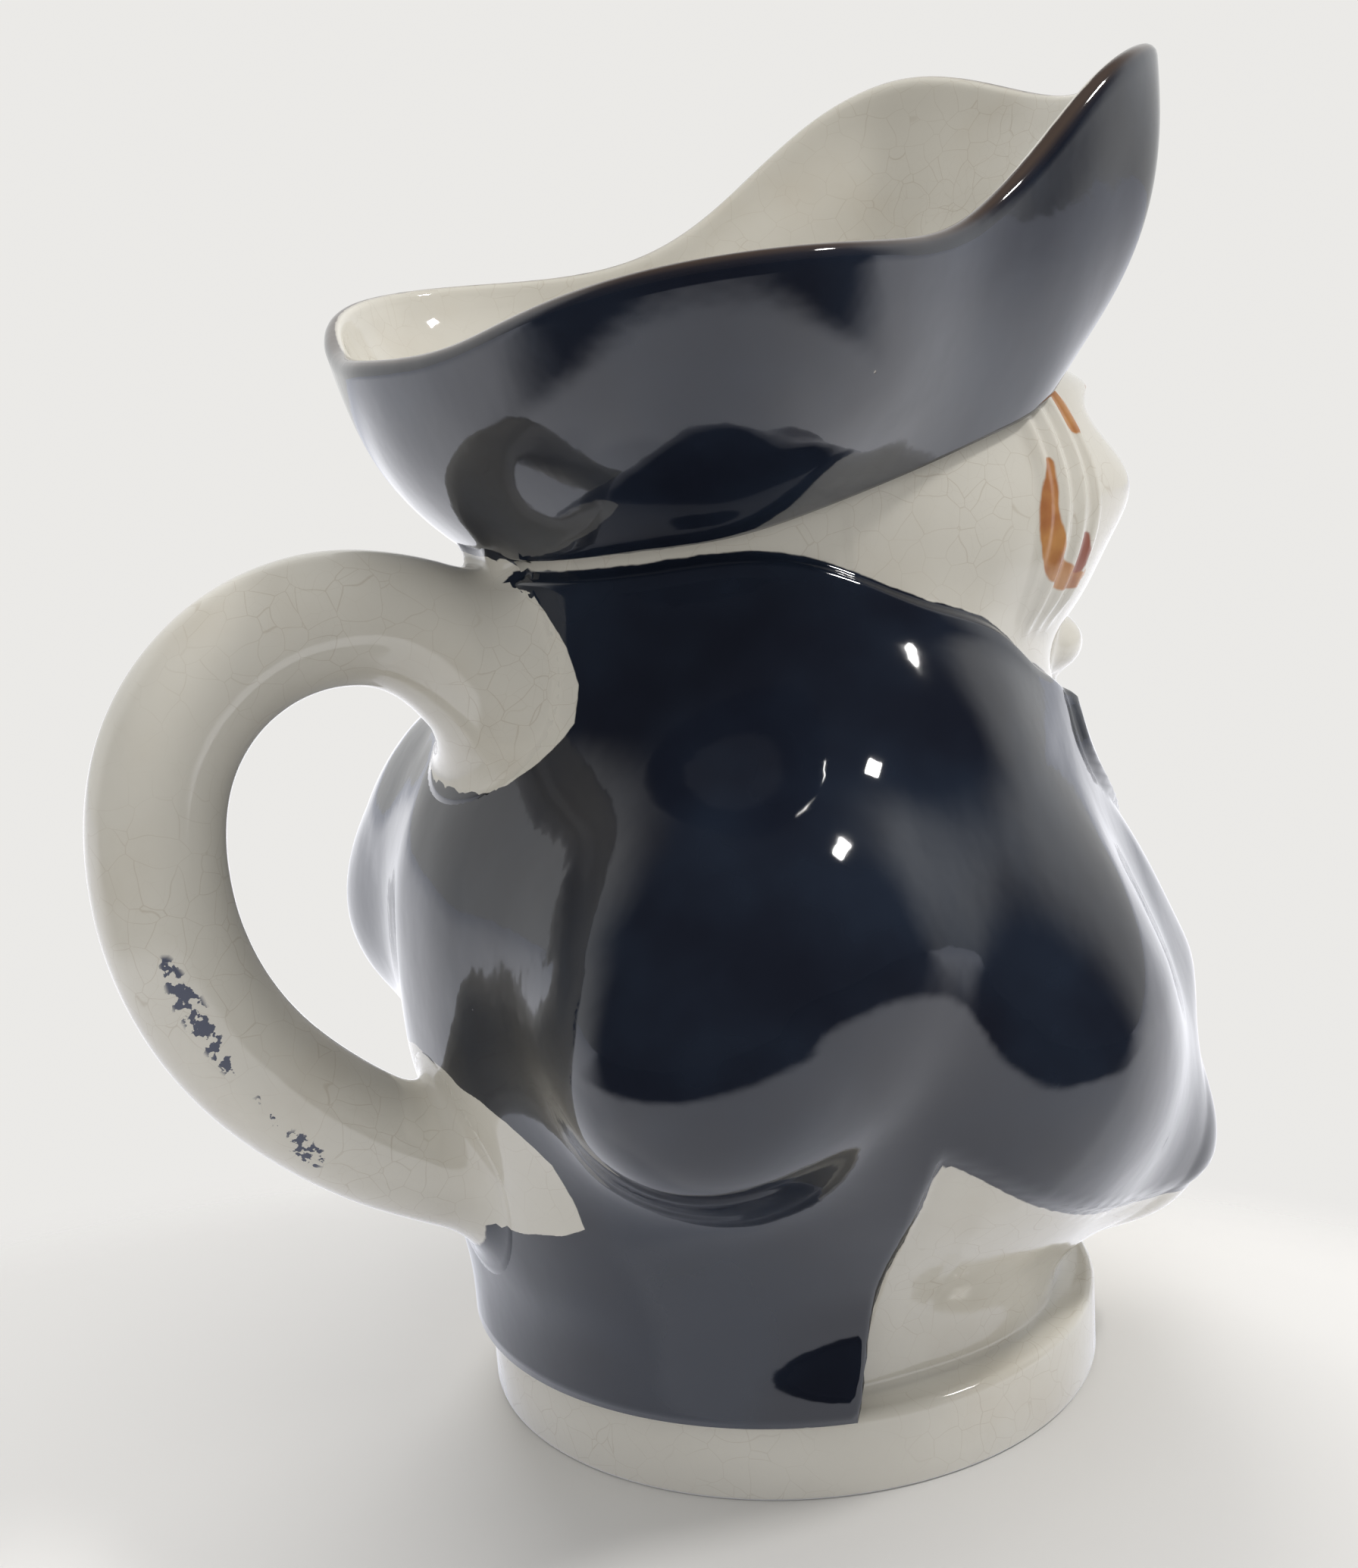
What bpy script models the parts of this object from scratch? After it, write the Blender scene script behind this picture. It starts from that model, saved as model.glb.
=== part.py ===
"""Toby jug: one hollow slip-cast jug in the form of a seated man, with his cocked hat as its mouth.

+X is the figure's front, +Y its left hand and +Z up; the origin is the centre of the plinth's underside.
The figure is free form, so its own lengths are counted in parts of its height, and its heights are counted
up from the plinth's top. The plinth, the walls, the rim, the coat's thickness and the handle have real sizes.
"""
import math

import bpy
import numpy as np

FIGURE_HEIGHT = 0.145       # plinth's top to the two front peaks of the hat
FIGURE_PARTS = 145          # the figure's height in the parts that its own lengths are counted in
PLINTH_RADIUS = 0.038
PLINTH_HEIGHT = 0.010
PLINTH_ROUND = 0.0012       # rounding of the plinth's top edge
FOOT_ROUND = 0.0006         # rounding where the plinth meets the floor
HEM_OVERHANG = 0.0018       # how far the coat's hem stands out past the plinth
WALL = 0.004
BOTTOM_WALL = 0.008         # inner floor to the jug's underside
RIM_WALL = 0.0026
COAT_THICKNESS = 0.0013     # step at the collar and at the coat's front edges
HAT_STEP = 0.0016           # how far the hat's lower edge stands out past the head
HANDLE_THICKNESS = 0.0148   # in the plane of the loop
HANDLE_WIDTH = 0.0150       # across that plane
COLUMNS = 70                # around the jug, closer together at the front
COAT_RINGS = 21
HEAD_RINGS = 14
HAT_SHARES = (0, 0.08, 0.2, 0.36, 0.54, 0.72, 0.87, 0.985)      # rings up the hat, as shares of its height
MOUTH_SHARES = (0.985, 0.9, 0.78, 0.64, 0.5, 0.36, 0.2, 0.02)   # rings down inside the hat
INSIDE_SHARES = (0.85, 0.72, 0.6, 0.48, 0.36, 0.24, 0.13, 0.05, 0.012, 0)   # and from the hat to the inner floor
HANDLE_SIDES = 14
HANDLE_RINGS = 26

PART = FIGURE_HEIGHT / FIGURE_PARTS
AXIS_X = -2.7               # upright axis that the jug's outline is measured from, in parts

# Trunk: height, reach to the back, reach to the front, half width.
TRUNK = (
    (0, 38.0, 28.0, 33.5),
    (6, 38.5, 28.0, 33.5),
    (14, 39.5, 31.0, 35.0),
    (22, 40.5, 34.0, 36.5),
    (30, 41.5, 35.0, 37.5),
    (38, 43.0, 35.0, 37.5),
    (48, 43.5, 34.5, 36.5),
    (58, 42.5, 34.0, 35.0),
    (66, 39.5, 33.5, 33.0),
    (74, 35.0, 33.0, 30.5),
    (84, 31.5, 31.0, 28.5),
    (96, 30.5, 30.0, 28.0),
    (112, 30.5, 30.0, 28.0),
)
TRUNK_SQUARENESS = 2.4
# Breeches, belly and chest in front of the trunk: height, reach to the front, half width.
BELLY = (
    (0, 27.5, 24.0),
    (4, 28.0, 24.0),
    (9, 34.0, 25.5),
    (18, 41.0, 27.0),
    (26, 49.5, 28.0),
    (32, 54.0, 29.0),
    (40, 52.0, 28.5),
    (50, 47.0, 26.5),
    (60, 40.5, 24.5),
    (70, 34.0, 22.5),
    (80, 30.0, 20.0),
    (90, 24.0, 18.0),
)
BELLY_MIDDLE = 9            # how far in front of the plinth's centre the belly is widest
BELLY_SQUARENESS = 2.6
BELLY_BLEND = 8             # width of the fillet between trunk and belly

# Sleeve, given for the left side and mirrored: swellings, each a place and a radius, and the limbs between them.
SHOULDER = ((1, 24, 69), 13)
UPPER_ARM = ((-17, 31.5, 53), 17.5)
ELBOW = ((-26.5, 37, 45), 14)
FOREARM = ((9, 26.5, 37.5), 20)
CUFF = ((36.5, 19.5, 16.3), 11)
SLEEVE = (
    (SHOULDER, UPPER_ARM), (UPPER_ARM, ELBOW), (SHOULDER, FOREARM), (UPPER_ARM, FOREARM), (FOREARM, CUFF),
)
SLEEVE_BLEND = 10           # width of the fillets inside the sleeve
ARM_BLEND = 12              # width of the fillet between sleeve and trunk

# Left hand on the lap, below the belly: back of the hand from the wrist, then its four fingers, uppermost first.
HAND = (((39, 17, 17.5), 6.5), ((46, 10, 17.5), 5.2))
KNUCKLE = (48, 8, 22.3)
FINGER_TIP = (50, 1.6, 21.5)
FINGER_RADIUS = 2.1
FINGER_SPACING = 3.6
FINGERS = 4
HAND_BLEND = 1.5
FINGER_BLEND = 1.2

# Head under the hat, and the knot and two tabs of the neckcloth: centre and half sizes.
HEAD = ((10, 0, 95), (35.5, 31.5, 27))
HEAD_BLEND = 4
NECKCLOTH = (
    ((34, 0, 76), (10, 13, 5.5)),
    ((37.5, 0, 74), (6.5, 4.2, 4.2)),
    ((32.8, 5, 67), (7, 5.5, 8)),
)
FOLD_BLEND = 1.5
# Face, as swellings of the head: distance from the middle, height, half width, half height, rise.
FACE = (
    (0, 101.5, 2.8, 5.5, 2.8),      # bridge of the nose
    (0, 96.2, 3.8, 3.0, 5.2),       # tip of the nose
    (4.3, 95.4, 2.0, 1.8, 2.2),     # wing of the nose
    (10.3, 107.2, 7.2, 1.8, 2.0),   # brow
    (10.3, 103.0, 6.0, 3.0, -2.6),  # eye socket
    (10.3, 102.8, 4.3, 2.1, 2.4),   # eyeball and lids
    (10.3, 102.8, 4.6, 0.4, -0.8),  # line between the lids
    (17.5, 95.5, 7.5, 5.5, 2.4),    # cheek
    (0, 91.8, 5.6, 1.0, 1.5),       # upper lip
    (0, 89.1, 4.8, 1.2, 1.8),       # lower lip
    (0, 90.5, 6.6, 0.45, -1.2),     # line of the mouth
    (0, 87.2, 4.6, 0.8, -0.7),      # hollow under the lip
    (0, 84.2, 7.0, 2.8, 3.0),       # chin
)
# Hair combed down before the ear: angle from the front, half width in degrees, rise, number of locks, the height
# where they end and how much they slant.
SIDE_HAIR = (44, 8.5, 1.1, 4, 80, 0.12)
# Lapel of the coat: angle from the front of its free edge at the collar and at its foot, how far that edge waves,
# its upper and lower height, its rise.
LAPEL = ((31, 10), 5, (71, 45), 1.1)
COAT_OPENING = (16, 48)     # angle of the gap between the coat's fronts at the collar, and its foot's height
BUTTONS = (43, 35, 27)      # heights on the front's middle line
BUTTON = (2.6, 1.3)         # radius and rise

# Hat: angle from the front, radius and height of its rim.
RIM = (
    (0, 52.7, 140.0),
    (15, 52.5, 142.6),
    (30, 50.9, 145.0),
    (45, 46.9, 140.3),
    (60, 42.6, 131.2),
    (75, 42.0, 125.2),
    (90, 46.7, 123.1),
    (105, 53.0, 122.9),
    (120, 54.0, 121.9),
    (135, 49.5, 119.3),
    (150, 44.6, 116.4),
    (165, 42.2, 115.2),
    (180, 41.8, 115.0),
)
RIGHT_PEAK_DROP = (2.4, 14) # the hat's right-hand peak was cast a little lower, over this width in degrees
HAT_ROUNDNESS = 0.62        # 0 for a straight flare of the hat from head to rim, 1 for a deep bowl
HAT_RIDGE = (31, 8, 1.8)    # soft ridge below each peak: its angle from the front, width in degrees and rise
HAT_EDGE = (
    (0, 113), (20, 112), (35, 109), (48, 105.9), (61, 103.9), (76, 101.5), (97, 98.2),
    (115, 96), (130, 95.3), (150, 94.4), (180, 94),
)
# Upper edge of the coat's collar and of its front opening, as angle from the front and height.
COLLAR = (
    (0, 67), (20, 70), (30, 73.6), (38, 76.2), (47, 78.6), (60, 83.8), (77, 88), (92, 92),
    (111, 94.5), (130, 94), (150, 93.2), (180, 92.8),
)
# Front edge of the coat's skirt below the arm, as height and angle from the front.
COAT_EDGE = ((0, 102), (5, 100), (10, 97.8), (16, 96.3), (22.5, 94.6), (27.5, 93.9), (32, 93))
# Line under the forearm where the white breeches begin, as angle from the front and height.
UNDERARM = (
    (0, 7), (25, 9), (40, 12), (54, 15), (67, 19), (78, 23.5), (86, 28), (93, 31.8), (110, 33), (180, 33),
)
CUFF_END = (21, 17, 0.25, 26)   # angle where it ends, the height where it is widest, its slant, the hand's top
SLOPE = 1.5                 # width of the slopes at the coat's edges
HEM_HEIGHT = 14             # height over which the coat spreads out to its hem

# Middle line of the handle in the jug's plane of symmetry, from the lower root to the upper one.
HANDLE_LINE = (
    (-27, 17.5), (-36, 22), (-46.5, 26.5), (-57.5, 34.2), (-66, 44), (-70.8, 55), (-72, 66),
    (-69.6, 77), (-62.3, 85.6), (-52.5, 89.2), (-43, 88.0), (-34.5, 83), (-27, 76),
)
LOWER_ROOT_FLARE = (1.55, 1.6)  # at the body: times the handle's thickness and width
UPPER_ROOT_FLARE = (1.75, 2.0)
ROOT_LENGTH = 24                # stretch of the handle over which each root flares


def smooth_line(places, values, at, level_ends=False):
    """Cubic spline through values at places, with even bending; level_ends makes it flat at both ends."""
    place, value = np.array(places, float), np.array(values, float)
    step, rise = np.diff(place), np.diff(value)
    count = len(place)
    system, wanted = np.zeros((count, count)), np.zeros(count)
    mid = np.arange(1, count - 1)
    system[mid, mid - 1] = step[:-1]
    system[mid, mid] = 2 * (step[:-1] + step[1:])
    system[mid, mid + 1] = step[1:]
    wanted[mid] = 6 * (rise[1:] / step[1:] - rise[:-1] / step[:-1])
    if level_ends:
        system[0, :2] = 2 * step[0], step[0]
        system[-1, -2:] = step[-1], 2 * step[-1]
        wanted[0], wanted[-1] = 6 * rise[0] / step[0], -6 * rise[-1] / step[-1]
    else:
        system[0, 0] = system[-1, -1] = 1
    bend = np.linalg.solve(system, wanted)
    at = np.clip(at, place[0], place[-1])
    low = np.clip(np.searchsorted(place, at, side="right") - 1, 0, count - 2)
    run, width = at - place[low], step[low]
    slope = rise[low] / width - width * (2 * bend[low] + bend[low + 1]) / 6
    return value[low] + run * (slope + run * (bend[low] / 2 + run * (bend[low + 1] - bend[low]) / (6 * width)))


def ramp(value):
    """0 below 0, 1 above 1, and an S-curve between."""
    share = np.clip(value, 0, 1)
    return share * share * (3 - 2 * share)


def around(table, angle, column=1):
    """Read a table of angles from the front, the same on both sides of the figure."""
    rows = np.array(table, float)
    return smooth_line(rows[:, 0], rows[:, column], np.abs(angle), level_ends=True)


def soften(first, second, blend):
    """Join two distances with a fillet about as wide as blend."""
    share = np.maximum(blend - np.abs(first - second), 0) / blend
    return np.minimum(first, second) - share * share * blend / 4


def limb(x, y, z, start, end):
    """Distance to a limb that tapers between two joints, each a place and a radius."""
    (from_place, from_radius), (to_place, to_radius) = start, end
    from_place, along = np.array(from_place, float), np.subtract(to_place, from_place).astype(float)
    dx, dy, dz = x - from_place[0], y - from_place[1], z - from_place[2]
    share = np.clip((dx * along[0] + dy * along[1] + dz * along[2]) / (along @ along), 0, 1)
    gap = np.sqrt((dx - share * along[0]) ** 2 + (dy - share * along[1]) ** 2 + (dz - share * along[2]) ** 2)
    return gap - (from_radius + share * (to_radius - from_radius))


def sleeve(x, y, z):
    """Distance to the sleeve, whose limbs run into each other."""
    form = limb(x, y, z, *SLEEVE[0])
    for ends in SLEEVE[1:]:
        form = soften(form, limb(x, y, z, *ends), SLEEVE_BLEND)
    return form


def ball(x, y, z, form):
    """Rough distance to an ellipsoid given by its centre and half sizes."""
    centre, half = form
    size = np.sqrt(sum(((value - c) / h) ** 2 for value, c, h in zip((x, y, z), centre, half)))
    return (size - 1) * min(half)


def trunk(x, y, z):
    """Rough distance to the trunk, whose level sections are rounded, with their own front and back."""
    rows = np.array(TRUNK, float)
    back, front, half_width = (smooth_line(rows[:, 0], rows[:, column], z) for column in (1, 2, 3))
    power = TRUNK_SQUARENESS
    length = np.where(x > 0, front, back)
    size = (np.abs(x / length) ** power + np.abs(y / half_width) ** power) ** (1 / power)
    return (size - 1) * np.minimum(length, half_width)


def belly(x, y, z):
    """Rough distance to the belly, whose level sections are rounder boxes about their own middle."""
    rows = np.array(BELLY, float)
    reach, half_width = (smooth_line(rows[:, 0], rows[:, column], z) for column in (1, 2))
    power, length = BELLY_SQUARENESS, reach - BELLY_MIDDLE
    size = (np.abs((x - BELLY_MIDDLE) / length) ** power + np.abs(y / half_width) ** power) ** (1 / power)
    return (size - 1) * np.minimum(length, half_width)


def body(x, y, z):
    """Rough distance to the figure below its hat, without the coat's thickness and the face."""
    y = np.abs(y)
    form = soften(soften(trunk(x, y, z), belly(x, y, z), BELLY_BLEND), sleeve(x, y, z), ARM_BLEND)
    form = soften(form, limb(x, y, z, *HAND), HAND_BLEND)
    for finger in range(FINGERS):
        drop = np.array((0, 0, finger * FINGER_SPACING))
        knuckle, tip = np.subtract(KNUCKLE, drop), np.subtract(FINGER_TIP, drop)
        form = soften(form, limb(x, y, z, (knuckle, FINGER_RADIUS), (tip, FINGER_RADIUS)), FINGER_BLEND)
    form = soften(form, ball(x, y, z, HEAD), HEAD_BLEND)
    for fold in NECKCLOTH:
        form = soften(form, ball(x, y, z, fold), FOLD_BLEND)
    return form


def face(side, height):
    """How far the face's features stand out from the head."""
    rise = 0
    for middle, level, wide, tall, depth in FACE:
        across = (np.abs(side) - middle) / wide
        rise = rise + depth * np.exp(-across ** 2 - ((height - level) / tall) ** 2)
    return rise


def side_hair(angle, height):
    """How far the locks before the ear stand out from the head."""
    middle, half, rise, locks, foot, slant = SIDE_HAIR
    across = (np.degrees(np.abs(angle)) - middle) / half
    fade = ramp((height - foot) / 5) * ramp((1 - np.abs(across)) * 2.5)
    return rise * fade * (0.7 + 0.3 * np.cos(math.pi * locks * across + slant * (height - foot)))


def lapel(turn, height):
    """1 on the coat's lapels, which lie on its fronts, and 0 elsewhere."""
    (wide, narrow), wave, (top, foot), _ = LAPEL
    share = (height - foot) / (top - foot)
    edge = narrow + (wide - narrow) * share - wave * np.sin(math.pi * np.clip(share, 0, 1) * 2)
    return ramp((edge - turn) / (2 * SLOPE)) * ramp((height - foot) / SLOPE)


def buttons(angle, height, radius):
    """How far the coat's buttons stand out."""
    size, rise = BUTTON
    bulge = 0
    for level in BUTTONS:
        away = np.hypot(radius * np.sin(angle), height - level) / size
        bulge = bulge + rise * np.sqrt(np.maximum(1 - away ** 2, 0)) * (np.cos(angle) > 0)
    return bulge


def bare_radius(angle, height):
    """March inwards along level lines to the figure's surface, each time by a safe share of the distance to it."""
    cosine, sine = np.cos(angle), np.sin(angle)
    outside_all, marches, safe_share = 75.0, 90, 0.7
    radius = np.full(np.broadcast(angle, height).shape, outside_all)
    for _ in range(marches):
        radius = radius - safe_share * body(AXIS_X + radius * cosine, radius * sine, height)
    return radius


def body_radius(angle, height):
    """Outer radius of the figure with its face and its hair, without its coat."""
    radius = bare_radius(angle, height)
    return radius + np.where(np.cos(angle) > 0, face(radius * np.sin(angle), height), 0) + side_hair(angle, height)


def circle_radius(angle, radius):
    """Distance from the jug's axis to a circle about the plinth's centre."""
    return -AXIS_X * np.cos(angle) + np.sqrt(radius ** 2 - (AXIS_X * np.sin(angle)) ** 2)


def rim_height(angle):
    """Height of the hat's rim, with its right-hand peak a little lower."""
    turn = np.degrees(angle)
    peak, (drop, width) = HAT_RIDGE[0], RIGHT_PEAK_DROP
    return around(RIM, turn, 2) - drop * np.exp(-((turn + peak) / width) ** 2)


def coat_cover(angle, height):
    """1 where the coat covers the figure and 0 where it doesn't, with narrow slopes at its edges."""
    turn = np.degrees(np.abs(angle))
    below_collar = ramp((around(COLLAR, turn) - height) / SLOPE)
    skirt = ramp((turn - smooth_line(*np.array(COAT_EDGE).T, np.maximum(height, 0))) / SLOPE)
    end, widest, slant, hand_top = CUFF_END
    hand = ramp((hand_top - height) / SLOPE) * ramp((end - slant * np.abs(height - widest) - turn) / SLOPE)
    upper = ramp((height - around(UNDERARM, turn)) / SLOPE) * (1 - hand)
    wide, foot = COAT_OPENING
    gap = wide * ramp((height - foot) / (COLLAR[0][1] - foot)) - SLOPE
    return below_collar * np.maximum(skirt, upper) * ramp((turn - gap) / SLOPE)


def jug_radius(angle, height):
    """Outer radius of plinth top, figure and coat, up to the hat's lower edge."""
    hem = circle_radius(angle, (PLINTH_RADIUS + HEM_OVERHANG) / PART)
    cover = coat_cover(angle, height)
    plain = body_radius(angle, height)
    turn = np.degrees(np.abs(angle))
    relief = COAT_THICKNESS / PART + LAPEL[3] * lapel(turn, height) + buttons(angle, height, plain)
    radius = plain + cover * relief
    return radius + cover * ramp(1 - height / HEM_HEIGHT) * (hem - radius)


def hat_radius(angle, share):
    """Outer radius of the hat, from its lower edge (share 0) to its rim (share 1)."""
    turn = np.degrees(np.abs(angle))
    low = bare_radius(angle, around(HAT_EDGE, turn)) + HAT_STEP / PART
    high = around(RIM, turn)
    middle, width, rise = HAT_RIDGE
    ridge = rise * np.exp(-((turn - middle) / width) ** 2) * 4 * share * (1 - share)
    flare = HAT_ROUNDNESS * (1 - (1 - share) ** 3) + (1 - HAT_ROUNDNESS) * share
    return low + (high - low) * flare + np.where(share < 1, ridge, 0)


def outer_radius(angle, height):
    """Outer radius at any height, from the plinth's top to above the rim."""
    turn = np.degrees(np.abs(angle))
    edge, rim = around(HAT_EDGE, turn), rim_height(angle)
    share = (height - edge) / (rim - edge)
    return np.where(share < 0, jug_radius(angle, np.minimum(height, edge)), hat_radius(angle, share))


def cavity_radius(angles, heights):
    """Inner radius on a grid: the outer form shrunk by a ball as wide as the wall."""
    wall = WALL / PART
    pad = 8
    wide = np.concatenate([angles[-pad:] - 2 * math.pi, angles, angles[:pad] + 2 * math.pi])
    rise = heights[1] - heights[0]
    reach = int(wall / rise) + 1
    tall = heights[0] + rise * np.arange(-reach, len(heights) + reach)
    outer = outer_radius(wide[:, None], np.maximum(tall, 0)[None, :])
    inner = outer[pad:-pad, reach:-reach] - wall
    for across in range(-pad, pad + 1):
        turn = (wide[pad + across:len(wide) - pad + across] - angles)[:, None]
        for up in range(-reach, reach + 1):
            near = outer[pad + across:len(wide) - pad + across, reach + up:len(tall) - reach + up]
            spare = wall ** 2 - (up * rise) ** 2 - (turn * near) ** 2
            inner = np.where(spare > 0, np.minimum(inner, near - np.sqrt(np.maximum(spare, 0))), inner)
    return inner


def place(radius, angle, height):
    """Points in metres from a radius, an angle and a height in parts."""
    x, y = AXIS_X + radius * np.cos(angle), radius * np.sin(angle)
    return np.stack([x * PART, y * PART, height * PART + PLINTH_HEIGHT], -1)


def closed_grid(rings):
    """Vertices and faces of a form whose rings run from one end to the other, closed by a fan at each end."""
    count, sides = rings.shape[:2]
    points = np.concatenate([rings.reshape(-1, 3), rings[:1].mean(1), rings[-1:].mean(1)])
    faces = []
    for ring in range(count - 1):
        for side in range(sides):
            after = (side + 1) % sides
            low, high = ring * sides, (ring + 1) * sides
            faces.append((low + side, low + after, high + after, high + side))
    first, last = count * sides, count * sides + 1
    for side in range(sides):
        after = (side + 1) % sides
        faces.append((first, after, side))
        faces.append((last, (count - 1) * sides + side, (count - 1) * sides + after))
    return points, faces


def make_object(name, points, faces, material):
    mesh = bpy.data.meshes.new(name)
    mesh.from_pydata(points.tolist(), [], faces)
    mesh.materials.append(material)
    mesh.shade_smooth()
    made = bpy.data.objects.new(name, mesh)
    bpy.context.collection.objects.link(made)
    return made


def make_material(name, colour, roughness):
    material = bpy.data.materials.new(name)
    material.use_nodes = True
    shader = material.node_tree.nodes["Principled BSDF"]
    shader.inputs["Base Color"].default_value = (*colour, 1)
    shader.inputs["Roughness"].default_value = roughness
    shader.inputs["Metallic"].default_value = 0
    return material


def column_angles():
    """Angles from the front, from just past -180 to 180 degrees, closer together at the front."""
    even = (np.arange(COLUMNS) + 1 - COLUMNS // 2) * 2 * math.pi / COLUMNS
    return even - 0.3 * np.sin(even)


def jug_rings():
    """Rings from the centre of the underside up the outside, over the rim and down to the inner floor."""
    angle = column_angles()
    turn = np.degrees(np.abs(angle))
    base, lip, step = PLINTH_HEIGHT / PART, RIM_WALL / PART, 0.15
    plinth, foot, shoulder = PLINTH_RADIUS / PART, FOOT_ROUND / PART, PLINTH_ROUND / PART
    rings = []
    for radius, height in (
        (plinth - foot, -base), (plinth, foot - base), (plinth, -shoulder), (plinth - shoulder, -step),
    ):
        rings.append(place(circle_radius(angle, radius), angle, np.full(COLUMNS, float(height))))
    collar, edge, rim = around(COLLAR, turn), around(HAT_EDGE, turn), rim_height(angle)
    for share in np.linspace(0, 1, COAT_RINGS):
        height = share * (collar - SLOPE)
        rings.append(place(jug_radius(angle, height), angle, height))
    for share in np.linspace(0, 1, HEAD_RINGS):
        height = collar + step + share * (edge - collar - step)
        rings.append(place(jug_radius(angle, height), angle, height))
    for share in HAT_SHARES:
        rings.append(place(hat_radius(angle, share), angle, edge + step + share * (rim - edge - step)))
    rings.append(place(around(RIM, turn) - lip / 2, angle, rim + step * lip))
    floor, top = (BOTTOM_WALL - PLINTH_HEIGHT) / PART, max(row[2] for row in RIM)
    levels = np.arange(floor, top, 1.0)
    cavity = cavity_radius(angle, levels)
    for share in MOUTH_SHARES:
        height = edge + share * (rim - edge)
        inner = np.array([np.interp(h, levels, row) for h, row in zip(height, cavity)])
        thin = hat_radius(angle, share) - lip
        near_rim = ramp((share - 0.6) / 0.35)
        rings.append(place(inner + near_rim * (thin - inner), angle, height))
    for share in INSIDE_SHARES:
        height = floor + share * (edge - floor)
        inner = np.array([np.interp(h, levels, row) for h, row in zip(height, cavity)])
        corner = (1 - ramp(share / 0.05)) * WALL / PART
        rings.append(place(inner - corner, angle, height))
    return np.array(rings)


def handle_rings():
    """Rings along the handle; its ends flare at the roots and stop halfway through the wall."""
    line = np.array(HANDLE_LINE, float)
    steps = np.concatenate([[0], np.cumsum(np.hypot(*np.diff(line, axis=0).T))])
    at = np.linspace(0, steps[-1], HANDLE_RINGS)
    x, z = smooth_line(steps, line[:, 0], at), smooth_line(steps, line[:, 1], at)
    along_x, along_z = np.gradient(x), np.gradient(z)
    length = np.hypot(along_x, along_z)
    low, high = (1 - at / ROOT_LENGTH).clip(0) ** 2, (1 - (steps[-1] - at) / ROOT_LENGTH).clip(0) ** 2
    tall = 1 + (LOWER_ROOT_FLARE[0] - 1) * low + (UPPER_ROOT_FLARE[0] - 1) * high
    wide = 1 + (LOWER_ROOT_FLARE[1] - 1) * low + (UPPER_ROOT_FLARE[1] - 1) * high
    spin = np.arange(HANDLE_SIDES) * 2 * math.pi / HANDLE_SIDES
    out = np.cos(spin) * (tall * HANDLE_THICKNESS / PART / 2)[:, None]
    side = np.sin(spin) * (wide * HANDLE_WIDTH / PART / 2)[:, None]
    tube = np.stack([x[:, None] - (along_z / length)[:, None] * out, side,
                     z[:, None] + (along_x / length)[:, None] * out], -1)
    start, end = ([ring + (ring.mean(0) - ring) * inward for inward in (0.7, 0.35)] for ring in tube[[0, -1]])
    tube = np.concatenate([start, tube, end[::-1]])
    reach_x, reach_y, height = tube[..., 0] - AXIS_X, tube[..., 1], tube[..., 2]
    angle = np.arctan2(reach_y, reach_x)
    radius = np.maximum(np.hypot(reach_x, reach_y), outer_radius(angle, height) - WALL / PART / 2)
    return place(radius, angle, height)


def main():
    for old in list(bpy.data.objects):
        bpy.data.objects.remove(old, do_unlink=True)
    glaze = make_material("glazed_earthenware", (0.045, 0.055, 0.085), 0.12)
    jug = make_object("jug", *closed_grid(jug_rings()), glaze)
    handle = make_object("handle_form", *closed_grid(handle_rings()), glaze)
    handle.hide_render = True
    handle.display_type = "WIRE"
    union = jug.modifiers.new("handle", "BOOLEAN")
    union.operation = "UNION"
    union.solver = "EXACT"
    union.object = handle


main()
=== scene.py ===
"""Toby jug: the glazed earthenware of one slip-cast jug, a seated man in a navy coat and a cocked hat.

Lengths are in metres. The figure's own lengths are counted in parts of its height, as its solid's are, and
its heights are counted up from the plinth's top.
"""
import math

import bpy
import numpy as np
from mathutils import Matrix, Vector


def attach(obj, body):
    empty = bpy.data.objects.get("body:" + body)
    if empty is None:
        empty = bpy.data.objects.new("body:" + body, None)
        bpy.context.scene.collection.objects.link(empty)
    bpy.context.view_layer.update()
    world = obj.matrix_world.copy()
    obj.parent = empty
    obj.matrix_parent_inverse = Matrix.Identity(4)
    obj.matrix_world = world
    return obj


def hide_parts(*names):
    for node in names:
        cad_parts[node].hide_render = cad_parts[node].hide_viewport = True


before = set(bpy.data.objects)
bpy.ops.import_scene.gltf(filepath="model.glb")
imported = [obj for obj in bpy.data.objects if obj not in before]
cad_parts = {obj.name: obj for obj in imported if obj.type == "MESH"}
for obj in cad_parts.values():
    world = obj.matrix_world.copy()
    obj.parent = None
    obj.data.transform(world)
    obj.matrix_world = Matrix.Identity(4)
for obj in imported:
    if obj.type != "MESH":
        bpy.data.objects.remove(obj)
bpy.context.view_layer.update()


# The table where the jug stands for its picture: a pale sheet in a pale room, seen from the jug's right and a
# little from behind, by a camera held in the hand. One lamp hangs over its right front and softer light falls
# from the window behind it. In the glaze the room behind the camera shows as a dark field.
CAMERA_PLACE = Vector((-0.1096, -0.2193, 0.1296))
CAMERA_AIM = Vector((-0.00915, 0.00314, 0.07378))
CAMERA_ROLL = math.radians(-4.14)
CAMERA_LENS = 47.87
TO_CAMERA = (-0.41, -0.91, 0)           # level way from the jug to the camera
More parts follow.
